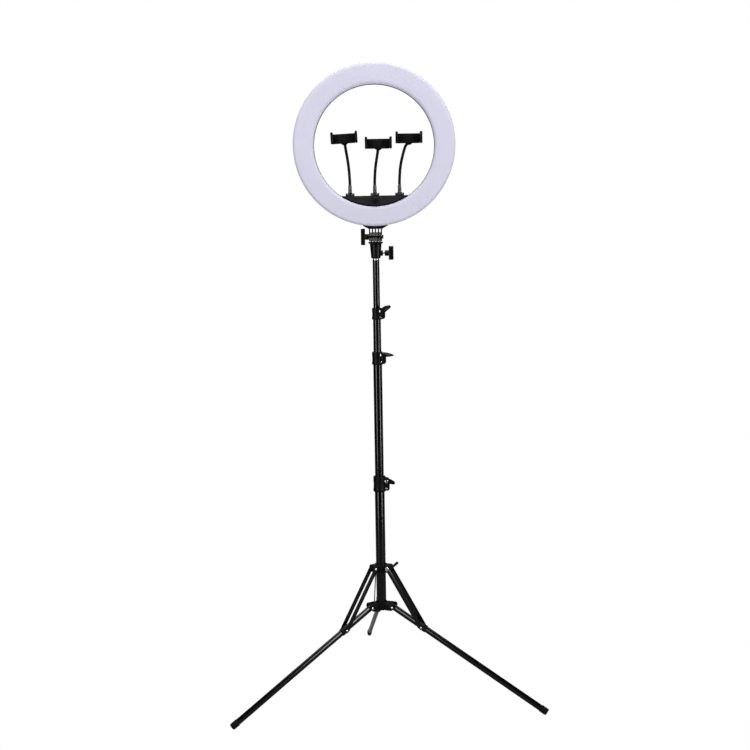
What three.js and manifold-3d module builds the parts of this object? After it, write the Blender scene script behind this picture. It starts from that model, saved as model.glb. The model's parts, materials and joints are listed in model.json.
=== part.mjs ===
// A ring light on a three-leg stand that folds upwards, with three phone holders in its 18 inch ring.
// Millimetres, +Z up. The ring faces -Y, and +X is on the right of a person who looks at its front.
import * as THREE from "three";
import { mergeVertices } from "three/addons/utils/BufferGeometryUtils.js";
import Module from "manifold-3d";

const wasm = await Module();
wasm.setup();

// ---- Driving dimensions ----
const GAP = 0.3; // between pieces that touch or slide on each other
const CUT = 1; // how far a cutting tool runs past the face it opens
const ROUND = 20; // sides of a tube or sleeve
const SMALL = 12; // sides of a knob, boss or foot
const PIN = 8; // sides of a pin, rivet or bolt hole

const RING_CENTRE_Z = 1578;
const RING_RADIUS = 225;
const HOLE_RADIUS = 166.8; // of the rear housing, the narrowest part of the hole
const HOLE_DROP = 3.5; // the hole sits this far below the ring's centre
const RING_FRONT_Y = -20;
const RING_BACK_Y = 14;
const SHELL = 2; // wall of the plastic shells
const RING_STEPS = 48;
const HOLE_FIT = HOLE_RADIUS * Math.cos(Math.PI / RING_STEPS) - GAP; // radius that clears the hole's sides

const PANEL_DROP = 137.5; // from the hole's centre down to the panel's flat top
const PANEL_FRONT_Y = -12;
const PANEL_BACK_Y = 12;
const KNOB_DROP = 152; // from the hole's centre down to the dimmer's shaft
const INLET_X = -45;
const INLET_Z = -HOLE_DROP - PANEL_DROP - 12; // from the ring's centre
const CRESCENT_STEPS = 16;

const TILT_Z = 1322.7; // axis of the tilting hinge under the ring
const FINGER_RADIUS = 12.8;
const FINGER = 3.6; // thickness of each upper finger
const FINGER_SPACE = 4.7; // room between two upper fingers
const UPPER_FINGERS = 5;
const STACK_HALF = (UPPER_FINGERS * FINGER + (UPPER_FINGERS - 1) * FINGER_SPACE) / 2;

const SOCKET_TOP = 1308;
const SOCKET_BOTTOM = 1262.3;
const SOCKET_KNOB_Z = 1277;

const BASE_TUBE = 14; // outer radii of the mast's tubes, from the lowest up
const TUBE_2 = 12.5;
const TUBE_3 = 11;
const TUBE_4 = 9.5;
const TUBE_WALL = 1.2;

const HUB_BOTTOM = 245;
const HUB_HEIGHT = 24;
const LEG_PIVOT = { r: 39, z: 255 };
const LEG_DROP_DEG = 28.1; // each leg's slope when the stand is open
const LEG_HALF_HEIGHT = 9.5; // the legs are flat oval tubes
const LEG_HALF_WIDTH = 6;
const LEG_LENGTH = 514;
const FOOT_FROM = 507;
const FOOT_TO = 528;
const FOOT_WALL = 1.3;
const CHEEK_IN = 6.6; // from a leg's middle plane to the hub's cheek
const CHEEK = 5;
const STRUT_ON_LEG = 103; // from the leg's pivot to the strut's pivot
const COLLAR_BOTTOM = 357;
const COLLAR_HEIGHT = 24;
const COLLAR_PIVOT = { r: 26, z: 370 };
const BAR_IN = 11; // from a strut's middle plane to each flat bar
const BAR = 2;
const BAR_HALF_WIDTH = 6.2;
const LEGS = { left: -55.4, right: 64.6, back: 184.6 }; // degrees from the front, positive towards +X
const COLLAR_KNOB_AT = 118;
const COLLAR_KNOB_UP = 8; // from the collar's lower end to its clamping screw

const rad = THREE.MathUtils.degToRad;

// ---- Finishes: colour, roughness, metalness ----
const finish = (color, roughness, metalness) => ({ color, roughness, metalness });
const GLOSS_BLACK = finish(0x08080a, 0.22, 0.2);
const BLACK_PLASTIC = finish(0x141415, 0.5, 0);
const PANEL_BLACK = finish(0x2a2a28, 0.55, 0);
const DIFFUSER = finish(0xd9d7ea, 0.5, 0);
const RUBBER = finish(0x0e0e0e, 0.85, 0);
const STEEL = finish(0xc9c9c4, 0.3, 1);
const GUNMETAL = finish(0x4a4a4a, 0.35, 0.9);
const BOARD = finish(0xe8e8e0, 0.6, 0);

// ---- Solids ----
function solidOf(geometry) {
  const bare = geometry.clone();
  bare.deleteAttribute("normal");
  bare.deleteAttribute("uv");
  const merged = mergeVertices(bare, 1e-4);
  return new wasm.Manifold(
    new wasm.Mesh({
      numProp: 3,
      vertProperties: merged.attributes.position.array,
      triVerts: new Uint32Array(merged.index.array),
    }),
  );
}

function geometryOf(solid) {
  const { vertProperties, triVerts } = solid.getMesh();
  const geometry = new THREE.BufferGeometry();
  geometry.setAttribute("position", new THREE.BufferAttribute(vertProperties, 3));
  geometry.setIndex(new THREE.BufferAttribute(triVerts, 1));
  geometry.computeVertexNormals();
  return geometry;
}

function join(...pieces) {
  return geometryOf(pieces.map(solidOf).reduce((whole, next) => whole.add(next)));
}

function cut(body, ...tools) {
  return geometryOf(tools.map(solidOf).reduce((left, tool) => left.subtract(tool), solidOf(body)));
}

// A box given by its lowest and highest corner.
function block(low, high) {
  const size = high.map((v, i) => v - low[i]);
  const middle = high.map((v, i) => (v + low[i]) / 2);
  return new THREE.BoxGeometry(...size).translate(...middle);
}

// A cylinder or cone between two places on a line parallel to the given axis.
function rod(axis, from, to, radius, { steps = ROUND, endRadius = radius, at = [0, 0] } = {}) {
  const body = new THREE.CylinderGeometry(endRadius, radius, to - from, steps);
  body.translate(0, (from + to) / 2, 0);
  if (axis === "x") return body.rotateZ(-Math.PI / 2).translate(0, at[0], at[1]);
  if (axis === "y") return body.translate(at[0], 0, at[1]);
  return body.rotateX(Math.PI / 2).translate(at[0], at[1], 0);
}

// A tube about Z, open at both ends.
function tube(from, to, outer, inner, steps = ROUND) {
  const profile = [[outer, from], [outer, to], [inner, to], [inner, from]];
  return lathe(profile, steps);
}

// A closed profile of [radius, height] corners turned about Z.
function lathe(profile, steps) {
  const corners = [...profile, profile[0]].map(([r, h]) => new THREE.Vector2(r, h));
  return new THREE.LatheGeometry(corners, steps).rotateX(Math.PI / 2);
}

// An outline of [x, z] corners, or a Shape, made solid between two depths along Y.
function slab(outline, fromY, toY, curveSegments = 12) {
  const corners = Array.isArray(outline) && outline.map(([x, z]) => new THREE.Vector2(x, z));
  const shape = corners ? new THREE.Shape(corners) : outline;
  return new THREE.ExtrudeGeometry(shape, { depth: toY - fromY, bevelEnabled: false, curveSegments })
    .rotateX(Math.PI / 2)
    .translate(0, toY, 0);
}

// The outline of a bar with round ends, from the origin along +X.
function barOutline(length, halfWidth) {
  const shape = new THREE.Shape();
  shape.absarc(0, 0, halfWidth, Math.PI / 2, Math.PI * 1.5, false);
  shape.absarc(length, 0, halfWidth, -Math.PI / 2, Math.PI / 2, false);
  return shape;
}

function piece(name, geometry, look) {
  const mesh = new THREE.Mesh(geometry, new THREE.MeshStandardMaterial(look));
  mesh.name = name;
  return mesh;
}

function group(place, turn, ...children) {
  const made = new THREE.Group();
  made.position.set(...place);
  made.rotation.set(...turn.map(rad));
  made.add(...children);
  return made;
}

// ---- Ring ----
// A profile of [radius, y] corners turned about the ring's axis, with its hole moved down.
function ringSolid(profile) {
  const corners = [...profile, profile[0]].map(([r, y]) => new THREE.Vector2(r, y));
  const solid = new THREE.LatheGeometry(corners, RING_STEPS);
  const place = solid.attributes.position;
  for (let i = 0; i < place.count; i += 1) {
    const r = Math.hypot(place.getX(i), place.getZ(i));
    const share = THREE.MathUtils.clamp((RING_RADIUS - r) / (RING_RADIUS - HOLE_RADIUS), 0, 1);
    place.setZ(i, place.getZ(i) - HOLE_DROP * share);
  }
  return solid;
}

function rearHousing() {
  const outer = RING_RADIUS - 3;
  const lip = -7;
  const innerLip = -11;
  const chamfer = 4;
  return ringSolid([
    [outer - SHELL, lip],
    [outer, lip],
    [outer, RING_BACK_Y - chamfer],
    [outer - chamfer, RING_BACK_Y],
    [HOLE_RADIUS + chamfer, RING_BACK_Y],
    [HOLE_RADIUS, RING_BACK_Y - chamfer],
    [HOLE_RADIUS, innerLip],
    [HOLE_RADIUS + 1.6, innerLip],
    [HOLE_RADIUS + 1.6, RING_BACK_Y - chamfer - 0.8],
    [HOLE_RADIUS + chamfer + 0.8, RING_BACK_Y - SHELL],
    [outer - chamfer - 0.8, RING_BACK_Y - SHELL],
    [outer - SHELL, RING_BACK_Y - chamfer - 0.8],
  ]);
}

function frontDiffuser() {
  const outer = RING_RADIUS;
  const inner = HOLE_RADIUS + 2.1;
  const skirt = -3;
  const shoulder = -13;
  const wall = 2.3;
  return ringSolid([
    [outer - wall, shoulder + 1],
    [outer - 9.6, RING_FRONT_Y + wall],
    [inner + 9.6, RING_FRONT_Y + wall],
    [inner + wall, shoulder + 1],
    [inner + wall, skirt],
    [inner, skirt],
    [inner, shoulder],
    [inner + 3, RING_FRONT_Y + 2.6],
    [inner + 9, RING_FRONT_Y],
    [outer - 9, RING_FRONT_Y],
    [outer - 3, RING_FRONT_Y + 2.6],
    [outer, shoulder],
    [outer, skirt],
    [outer - wall, skirt],
  ]);
}

function ledBoard() {
  const back = RING_BACK_Y - SHELL - GAP;
  return ringSolid([[174, back - 1.5], [215, back - 1.5], [215, back], [174, back]]);
}

// The crescent under a chord of the hole, as a Shape about the ring's centre.
function crescent(radius, drop) {
  const half = Math.acos(drop / radius);
  const shape = new THREE.Shape();
  shape.absarc(0, -HOLE_DROP, radius, -Math.PI / 2 - half, -Math.PI / 2 + half, false);
  return shape;
}

function controlPanel() {
  const outer = HOLE_FIT;
  const knobZ = -HOLE_DROP - KNOB_DROP;
  const hollowFrom = PANEL_FRONT_Y + SHELL;
  const shell = slab(crescent(outer, PANEL_DROP), PANEL_FRONT_Y, PANEL_BACK_Y, CRESCENT_STEPS);
  const boss = rod("y", PANEL_FRONT_Y - 1, PANEL_FRONT_Y + 1, 12, { at: [0, knobZ], steps: 24 });
  const inside = crescent(outer - SHELL, PANEL_DROP + SHELL);
  const hollow = slab(inside, hollowFrom, PANEL_BACK_Y + CUT, CRESCENT_STEPS);
  const shaftHole = rod("y", PANEL_FRONT_Y - 2, hollowFrom + CUT, 3 + GAP, { at: [0, knobZ], steps: SMALL });
  return cut(join(shell, boss), hollow, shaftHole);
}

function panelCover() {
  const outer = HOLE_FIT - SHELL - GAP;
  const outline = crescent(outer, PANEL_DROP + SHELL + GAP);
  const plate = slab(outline, PANEL_BACK_Y - SHELL, PANEL_BACK_Y, CRESCENT_STEPS);
  const inletHole = rod("y", PANEL_BACK_Y - SHELL - CUT, PANEL_BACK_Y + CUT, 6 + GAP, {
    at: [INLET_X, INLET_Z],
    steps: SMALL,
  });
  return cut(plate, inletHole);
}

function powerInlet() {
  const at = [INLET_X, INLET_Z];
  const barrel = rod("y", 1, PANEL_BACK_Y + GAP, 6, { at, steps: SMALL });
  const flange = rod("y", PANEL_BACK_Y + GAP, PANEL_BACK_Y + 2, 8, { at, steps: SMALL });
  const bore = rod("y", 4, PANEL_BACK_Y + 2 + CUT, 3.3, { at, steps: SMALL });
  return cut(join(barrel, flange), bore);
}

// The driver's board with the dimmer's potentiometer on its front.
function driverBoard() {
  const top = -HOLE_DROP - PANEL_DROP - SHELL - 2;
  const knobZ = -HOLE_DROP - KNOB_DROP;
  const board = block([-58, -2, top - 10], [58, -0.4, top]);
  const potentiometer = block([-7, -8.5, knobZ - 7], [7, -0.4, knobZ + 7]);
  return join(board, potentiometer);
}

function dimmerKnob() {
  const at = [0, -HOLE_DROP - KNOB_DROP];
  const face = PANEL_FRONT_Y - 1 - GAP;
  const cap = rod("y", face - 8, face, 6.6, { at, endRadius: 7.2, steps: 24 });
  const shaft = rod("y", face - 1, PANEL_FRONT_Y + SHELL + 1, 3, { at, steps: SMALL });
  return join(cap, shaft);
}

// ---- Phone holders ----
const SHOE = { halfWidth: 12.25, halfDepth: 10, floor: 2.3, top: 7.2, lip: 2, wall: 3.2 };
const FOOT_DISC = { radius: 8.6, from: 2.6, to: 4.8 };
const FERRULE_TOP = 29; // above the panel
const NECK_RADIUS = 4;
const BALL_RADIUS = 6.5;
const STEM_LENGTH = 13;
const PLATE = { backY: -8, thick: 9, bottom: -7, height: 27, right: 30 };
const JAW = { outer: 37, frontY: -35, bottom: -8, top: 26 };
const TONGUE = { halfHeight: 8, thick: 2.9, length: 35 };

// Places are from the ring's centre. A stem points from the ball down to the neck.
const HOLDERS = [
  {
    side: "left",
    x: -69,
    ball: [-82.3, 0, 10.4],
    stem: [0.12, 0.5, -0.86],
    along: [[-69.3, 1, -98], [-72.4, 6, -56]],
    tilt: -2.8,
  },
  {
    side: "middle",
    x: 0,
    ball: [11.5, -38, -5.3],
    stem: [-0.1, 0.6, -0.79],
    along: [[0.2, -0.3, -98], [3, -6, -62]],
    tilt: 0,
  },
  {
    side: "right",
    x: 69,
    ball: [96.3, 0, 8.5],
    stem: [-0.45, 0.5, -0.74],
    along: [[69.3, 1, -98], [73, 6, -58]],
    tilt: 0,
  },
];
const PANEL_TOP = -HOLE_DROP - PANEL_DROP;

function coldShoe() {
  const { halfWidth, halfDepth, floor, top, lip, wall } = SHOE;
  const base = block([-halfWidth, -halfDepth, GAP], [halfWidth, halfDepth, top]);
  const side = halfWidth - wall;
  const slot = block([-side, -halfDepth - CUT, floor], [side, halfDepth + CUT, top - lip]);
  const mouth = wall + lip - halfWidth;
  const opening = block([mouth, -halfDepth - CUT, floor], [-mouth, halfDepth + CUT, top + CUT]);
  return cut(base, slot, opening);
}

function ferrule() {
  const disc = rod("z", FOOT_DISC.from, FOOT_DISC.to, FOOT_DISC.radius, { steps: 16 });
  const nut = rod("z", FOOT_DISC.to - CUT, 8.5, 6.6, { steps: 6 });
  const sleeve = rod("z", 8, FERRULE_TOP, 5.2, { endRadius: 4.7, steps: SMALL });
  return join(disc, nut, sleeve);
}

// A place on the line of a holder's stem, this far from its ball.
function onStem({ ball, stem }, distance) {
  const way = new THREE.Vector3(...stem).normalize();
  return new THREE.Vector3(...ball).addScaledVector(way, distance);
}

function gooseneck(holder) {
  const foot = PANEL_TOP + FERRULE_TOP + GAP;
  const points = [[holder.x, 0, foot], ...holder.along].map((p) => new THREE.Vector3(...p));
  points.push(onStem(holder, STEM_LENGTH + 9), onStem(holder, STEM_LENGTH + 2 * GAP));
  const section = new THREE.Shape().absarc(0, 0, NECK_RADIUS, 0, Math.PI * 2, false);
  const path = new THREE.CatmullRomCurve3(points);
  return new THREE.ExtrudeGeometry(section, {
    steps: 12,
    extrudePath: path,
    curveSegments: 4,
    bevelEnabled: false,
  });
}

function neckBall({ stem }) {
  const way = new THREE.Vector3(...stem).normalize();
  const ball = new THREE.SphereGeometry(BALL_RADIUS, 12, 8);
  const neck = rod("z", 0, STEM_LENGTH, 4.4, { steps: PIN });
  neck.applyQuaternion(new THREE.Quaternion().setFromUnitVectors(new THREE.Vector3(0, 0, 1), way));
  return join(ball, neck);
}

// The clamp's back plate with its fixed jaw and the socket of its ball joint, from the ball's centre.
function clampBody() {
  const { backY, thick, bottom, height, right } = PLATE;
  const middle = bottom + height / 2;
  const channelY = backY - thick / 2;
  const plate = block([-JAW.outer + 2, backY - thick, bottom], [right, backY, bottom + height]);
  const jaw = jawColumn(-JAW.outer, -JAW.outer + 6.7);
  const socket = rod("y", backY - CUT, -1.5, 12, { steps: 16, endRadius: 10.5 });
  const cavity = new THREE.SphereGeometry(BALL_RADIUS + 2 * GAP, 12, 8);
  const channel = block(
    [right - TONGUE.length - 12, channelY - TONGUE.thick / 2 - GAP, middle - TONGUE.halfHeight - GAP],
    [right + CUT, channelY + TONGUE.thick / 2 + GAP, middle + TONGUE.halfHeight + GAP],
  );
  return cut(join(plate, jaw, socket), cavity, channel);
}

// A jaw with rounded corners that stands forward of the plate, between two places along X.
function jawColumn(fromX, toX) {
  const { frontY, bottom, top } = JAW;
  const back = PLATE.backY;
  const r = 3;
  const outline = [
    [frontY, bottom + r],
    [frontY + r, bottom],
    [back - r, bottom],
    [back, bottom + r],
    [back, top - 7],
    [back - 6, top],
    [frontY + r, top],
    [frontY, top - r],
  ];
  const shape = new THREE.Shape(outline.map(([y, z]) => new THREE.Vector2(y, z)));
  return new THREE.ExtrudeGeometry(shape, { depth: toX - fromX, bevelEnabled: false })
    .rotateX(Math.PI / 2)
    .rotateZ(Math.PI / 2)
    .translate(fromX, 0, 0);
}

function clampJaw() {
  const { backY, thick, bottom, height, right } = PLATE;
  const middle = bottom + height / 2;
  const channelY = backY - thick / 2;
  const column = jawColumn(right + GAP, JAW.outer);
  const tongue = block(
    [right - TONGUE.length, channelY - TONGUE.thick / 2, middle - TONGUE.halfHeight],
    [right + 2, channelY + TONGUE.thick / 2, middle + TONGUE.halfHeight],
  );
  return join(column, tongue);
}

function phoneHolder(holder) {
  const { side, x, ball, tilt } = holder;
  return [
    group([x, 0, PANEL_TOP], [0, 0, 0], piece(`shoe_${side}`, coldShoe(), BLACK_PLASTIC)),
    group([x, 0, PANEL_TOP], [0, 0, 0], piece(`ferrule_${side}`, ferrule(), GUNMETAL)),
    piece(`gooseneck_${side}`, gooseneck(holder), RUBBER),
    group(ball, [0, 0, 0], piece(`neck_ball_${side}`, neckBall(holder), BLACK_PLASTIC)),
    group(
      ball,
      [0, tilt, 0],
      piece(`clamp_body_${side}`, clampBody(), BLACK_PLASTIC),
      piece(`clamp_jaw_${side}`, clampJaw(), BLACK_PLASTIC),
    ),
  ];
}

// ---- Neck: the tilting hinge and the socket that sits on the mast ----
// Places along X of a row of fingers: 0 for the upper row, 1 for the lower row between them.
function fingerPlaces(row) {
  const pitch = FINGER + FINGER_SPACE;
  return Array.from({ length: UPPER_FINGERS - row }, (_, i) => (i - (UPPER_FINGERS - 1 - row) / 2) * pitch);
}

// One finger of the hinge about the tilt axis, that runs on to the given height.
function finger(x, thickness, toZ) {
  const low = Math.min(0, toZ);
  const high = Math.max(0, toZ);
  const disc = rod("x", x - thickness / 2, x + thickness / 2, FINGER_RADIUS, { steps: 16 });
  const root = block([x - thickness / 2, -11, low], [x + thickness / 2, 11, high]);
  return join(disc, root);
}

function boltHole() {
  return rod("x", -STACK_HALF - CUT, STACK_HALF + CUT, 3 + GAP, { steps: PIN });
}

// The bracket under the ring, from the tilt axis: a saddle that follows the rim, and its fingers.
function ringBracket() {
  const rise = RING_CENTRE_Z - TILT_Z;
  const seat = RING_RADIUS - 3 + GAP;
  const front = -9;
  const back = 13;
  const saddle = slab(
    [[-STACK_HALF, 22.3], [STACK_HALF, 22.3], [35, 30.6], [35, 42], [-35, 42], [-35, 30.6]],
    front,
    back,
  );
  const rim = rod("y", front - CUT, back + CUT, seat, { at: [0, rise], steps: 96 });
  const skirt = rod("y", front - CUT, -2.4, RING_RADIUS + GAP, { at: [0, rise], steps: 96 });
  const fingers = fingerPlaces(0).map((x) => finger(x, FINGER, 24));
  return cut(join(saddle, ...fingers), rim, skirt, boltHole());
}

function tiltBolt() {
  const shaft = rod("x", -STACK_HALF - 7, STACK_HALF + 1, 3, { steps: PIN });
  const head = rod("x", STACK_HALF + GAP, STACK_HALF + 4, 5.5, { steps: 6 });
  return join(shaft, head);
}

// A T-shaped thumb knob that points along +X, from its inner face, with a blind hole for its screw.
function tKnob(stemLength, barHalf, thick, screw) {
  const bar = new THREE.Shape();
  bar.absarc(0, barHalf - 6, 6, 0, Math.PI, false);
  bar.absarc(0, 6 - barHalf, 6, Math.PI, Math.PI * 2, false);
  const grip = new THREE.ExtrudeGeometry(bar, { depth: thick, bevelEnabled: false, curveSegments: 6 })
    .rotateY(Math.PI / 2)
    .rotateX(Math.PI / 2)
    .translate(stemLength, 0, 0);
  const stem = rod("x", 0, stemLength + 1, 8.4, { steps: SMALL });
  const hole = rod("x", -CUT, 9, screw, { steps: PIN });
  return { body: join(grip, stem), hole };
}

function tiltKnob() {
  const { body, hole } = tKnob(10.5, 23, 12, 3 + GAP);
  return cut(body, hole).rotateZ(Math.PI);
}

function socketKnob() {
  const { body } = tKnob(11, 19.5, 13.5, 3);
  const screw = rod("x", -18.2, 1, 2.6, { steps: PIN });
  return join(body, screw);
}

// The socket that sits on the mast's spigot, from the floor, with the lower fingers on its top.
function standSocket() {
  const body = lathe(
    [[0, SOCKET_BOTTOM], [12.4, SOCKET_BOTTOM], [13.4, SOCKET_BOTTOM + 3], [16.4, SOCKET_TOP - 6],
      [21.3, SOCKET_TOP - 1.5], [21.3, SOCKET_TOP], [0, SOCKET_TOP]],
    ROUND,
  );
  const space = FINGER_SPACE - 2 * GAP;
  const fingers = fingerPlaces(1).map((x) => finger(x, space, -16).translate(0, 0, TILT_Z));
  const boss = rod("x", 8, 20, 8, { at: [0, SOCKET_KNOB_Z], steps: SMALL });
  const bore = rod("z", SOCKET_BOTTOM - CUT, SOCKET_BOTTOM + 35, 6 + GAP, { steps: SMALL });
  const screwHole = rod("x", 4, 20 + CUT, 2.6 + GAP, { at: [0, SOCKET_KNOB_Z], steps: PIN });
  return cut(join(body, boss, ...fingers), bore, screwHole, boltHole().translate(0, 0, TILT_Z));
}

// ---- Mast ----
const MAST_TOP = 1257.5;
const LOCKS = [
  { name: "lower", z: 595, height: 43.6, on: BASE_TUBE, inner: TUBE_2, sleeve: 17.8, reach: 29, boltX: 19.5,
    bolt: 29.9, lever: 25.5, leverFrom: 14, angle: -15, turn: 0, head: 5 },
  { name: "middle", z: 962, height: 36, on: TUBE_2, inner: TUBE_3, sleeve: 15.6, reach: 24.4, boltX: 18,
    bolt: 28.4, lever: 30.5, leverFrom: 12, angle: 3, turn: -35, head: 4.4 },
  { name: "upper", z: 1090, height: 32.5, on: TUBE_3, inner: TUBE_4, sleeve: 13.6, reach: 23.8, boltX: 17.5,
    bolt: 25, lever: 27, leverFrom: 12, angle: 27, turn: -35, head: 4.4 },
];
const EAR_HALF = 8;
const CHEEK_RADIUS = 6.4; // of a lever's cheeks, outside the ear
const LOCK_SHOULDER = 6; // from the lock's top down to the end of the tube it is fixed on

// A split clamp with an ear, from the middle of its lower end; the ear points along +X.
function lockBody({ height, on, inner, sleeve, reach, boltX, bolt }) {
  const shell = lathe(
    [[0, 0], [sleeve, 0], [sleeve + 0.6, 4], [sleeve - 0.6, height * 0.6], [sleeve, height], [0, height]],
    ROUND,
  );
  const round = reach - boltX;
  const outline = new THREE.Shape();
  outline.moveTo(6, 2);
  outline.lineTo(reach - 4, 2);
  outline.lineTo(reach, 7);
  outline.absarc(boltX, bolt, round, 0, Math.PI / 2, false);
  outline.lineTo(6, bolt + round);
  const ear = slab(outline, -EAR_HALF, EAR_HALF, 4);
  const screw = rod("y", -EAR_HALF - 1.4, EAR_HALF + 1.4, 3, {
    at: [boltX, 8.5],
    steps: PIN,
  });
  const lowerBore = rod("z", -CUT, height - LOCK_SHOULDER, on + GAP);
  const upperBore = rod("z", -CUT, height + CUT, inner + GAP);
  const split = block([inner, -0.9, height - 16], [reach + CUT, 0.9, height + CUT]);
  const boltHole = rod("y", -EAR_HALF - CUT, EAR_HALF + CUT, 2.5 + GAP, {
    at: [boltX, bolt],
    steps: PIN,
  });
  const reliefs = [EAR_HALF, -EAR_HALF - 12].map((from) =>
    rod("y", from, from + 12, CHEEK_RADIUS + 0.8, { at: [boltX, bolt], steps: SMALL }),
  );
  return cut(join(shell, ear, screw), lowerBore, upperBore, split, boltHole, ...reliefs);
}

// A flip lever about its bolt, that points along +X: two cheeks outside the ear and a grip between them.
function lockLever({ lever, leverFrom }) {
  const cheekIn = EAR_HALF + 0.4;
  const cheekOut = cheekIn + 2.2;
  const outline = new THREE.Shape();
  outline.absarc(0, 0, CHEEK_RADIUS, Math.PI / 2, Math.PI * 1.5, false);
  outline.lineTo(leverFrom, -5);
  outline.lineTo(lever - 3, -4);
  outline.absarc(lever - 3, -1, 3, -Math.PI / 2, Math.PI / 2, false);
  outline.lineTo(leverFrom, 5);
  const whole = slab(outline, -cheekOut, cheekOut, 5);
  const room = block([-10, -cheekIn, -10], [leverFrom, cheekIn, 10]);
  const hole = rod("y", -cheekOut - CUT, cheekOut + CUT, 2.5 + GAP, { steps: PIN });
  return cut(whole, room, hole);
}

function lockBolt({ head }) {
  const face = EAR_HALF + 2.9;
  const shank = rod("y", -face - 1, face + 1, 2.5, { steps: PIN });
  const heads = [-1, 1].map((side) => rod("y", Math.min(side * face, side * (face + 2)),
    Math.max(side * face, side * (face + 2)), head, { steps: SMALL }));
  return join(shank, ...heads);
}

function mastLock(lock) {
  const bolt = [lock.boltX, 0, lock.bolt];
  return group(
    [0, 0, lock.z],
    [0, 0, lock.turn],
    piece(`${lock.name}_lock_body`, lockBody(lock), BLACK_PLASTIC),
    group(bolt, [0, -lock.angle, 0], piece(`${lock.name}_lock_lever`, lockLever(lock), BLACK_PLASTIC)),
    group(bolt, [0, 0, 0], piece(`${lock.name}_lock_bolt`, lockBolt(lock), STEEL)),
  );
}

// The stud on the mast's top: a plug in the tube, a shoulder and the stud that the socket goes over.
function spigot() {
  const plug = rod("z", MAST_TOP - 18, MAST_TOP + 1, TUBE_4 - TUBE_WALL - GAP, { steps: SMALL });
  const shoulder = rod("z", MAST_TOP + GAP, SOCKET_BOTTOM - GAP, 8.6);
  const stud = rod("z", SOCKET_BOTTOM - 1, SOCKET_BOTTOM + 33, 6, { steps: SMALL });
  return join(plug, shoulder, stud);
}

function mast() {
  const [lower, middle, upper] = LOCKS;
  const shoulder = (lock) => lock.z + lock.height - LOCK_SHOULDER - GAP;
  const section = (name, radius, from, to) =>
    piece(name, tube(from, to, radius, radius - TUBE_WALL), GLOSS_BLACK);
  return [
    section("base_tube", BASE_TUBE, HUB_BOTTOM + 2.3, shoulder(lower)),
    section("tube_2", TUBE_2, 580, shoulder(middle)),
    section("tube_3", TUBE_3, 722, shoulder(upper)),
    section("tube_4", TUBE_4, 868, MAST_TOP),
    piece("spigot", spigot(), STEEL),
    ...LOCKS.map(mastLock),
  ];
}

// ---- Tripod ----
const aboutMast = (geometry, azimuth) => geometry.rotateZ(rad(azimuth - 90));

function legHub() {
  const { r, z } = LEG_PIVOT;
  const sleeve = rod("z", 0, HUB_HEIGHT, 17.5);
  const outline = [[8, 0], [36, 0], [43, 5], [46, 14], [46, 20], [43, HUB_HEIGHT], [8, HUB_HEIGHT]];
  const cheeks = Object.values(LEGS).flatMap((azimuth) =>
    [-1, 1].map((side) => {
      const from = side > 0 ? CHEEK_IN : -CHEEK_IN - CHEEK;
      return aboutMast(slab(outline, from, from + CHEEK), azimuth);
    }),
  );
  const bore = rod("z", SHELL, HUB_HEIGHT + CUT, BASE_TUBE + GAP);
  const across = CHEEK_IN + CHEEK + CUT;
  const pinHoles = Object.values(LEGS).map((azimuth) =>
    aboutMast(rod("y", -across, across, 3 + GAP, { at: [r, z - HUB_BOTTOM], steps: PIN }), azimuth),
  );
  return cut(join(sleeve, ...cheeks), bore, ...pinHoles);
}

function slideCollar() {
  const { r, z } = COLLAR_PIVOT;
  const sleeve = rod("z", 0, COLLAR_HEIGHT, 18);
  const half = BAR_IN - 0.6;
  const outline = [[8, 0], [25, 0], [32, 6], [34, 17], [34, 21], [31, COLLAR_HEIGHT], [8, COLLAR_HEIGHT]];
  const ears = Object.values(LEGS).map((azimuth) => aboutMast(slab(outline, -half, half), azimuth));
  const screwAt = [0, COLLAR_KNOB_UP];
  const boss = aboutMast(rod("x", 8, 21, 7, { at: screwAt, steps: SMALL }), COLLAR_KNOB_AT);
  const bore = rod("z", -CUT, COLLAR_HEIGHT + CUT, BASE_TUBE + GAP);
  const pinAt = [r, z - COLLAR_BOTTOM];
  const pinHoles = Object.values(LEGS).map((azimuth) =>
    aboutMast(rod("y", -half - CUT, half + CUT, 3 + GAP, { at: pinAt, steps: PIN }), azimuth),
  );
  const screwHole = aboutMast(rod("x", 6, 21 + CUT, 2.5 + GAP, { at: screwAt, steps: PIN }), COLLAR_KNOB_AT);
  return cut(join(sleeve, ...ears, boss), bore, screwHole, ...pinHoles);
}

// The collar's clamping screw with its cranked handle, which points outwards along +X.
function collarKnob() {
  const screw = rod("x", BASE_TUBE + 1, 24, 2.5, { steps: PIN });
  const hub = rod("x", 21.4, 38, 6.5, { steps: SMALL });
  const handle = rod("x", 0, 24, 3, { endRadius: 3.8, steps: PIN }).rotateY(rad(-33)).translate(36, 0, -2);
  return join(screw, hub, handle);
}

// A rod along X with the legs' flat oval section, grown by this much all round.
function legOval(from, to, grow, endGrow = grow) {
  const radius = LEG_HALF_HEIGHT + grow;
  const endRadius = LEG_HALF_HEIGHT + endGrow;
  return rod("x", from, to, radius, { steps: 16, endRadius }).scale(1, (LEG_HALF_WIDTH + grow) / radius, 1);
}

// A leg's tube with the hinge pin through its end, from the pivot along +X.
function legTube() {
  const body = legOval(-6, LEG_LENGTH, 0);
  const across = CHEEK_IN + CHEEK + GAP;
  const pin = rod("y", -across - 1, across + 1, 3, { steps: PIN });
  const heads = [-across - 1.6, across].map((from) => rod("y", from, from + 1.6, 4.2, { steps: SMALL }));
  const hollow = legOval(30, LEG_LENGTH + CUT, -TUBE_WALL);
  return cut(join(body, pin, ...heads), hollow);
}

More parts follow.
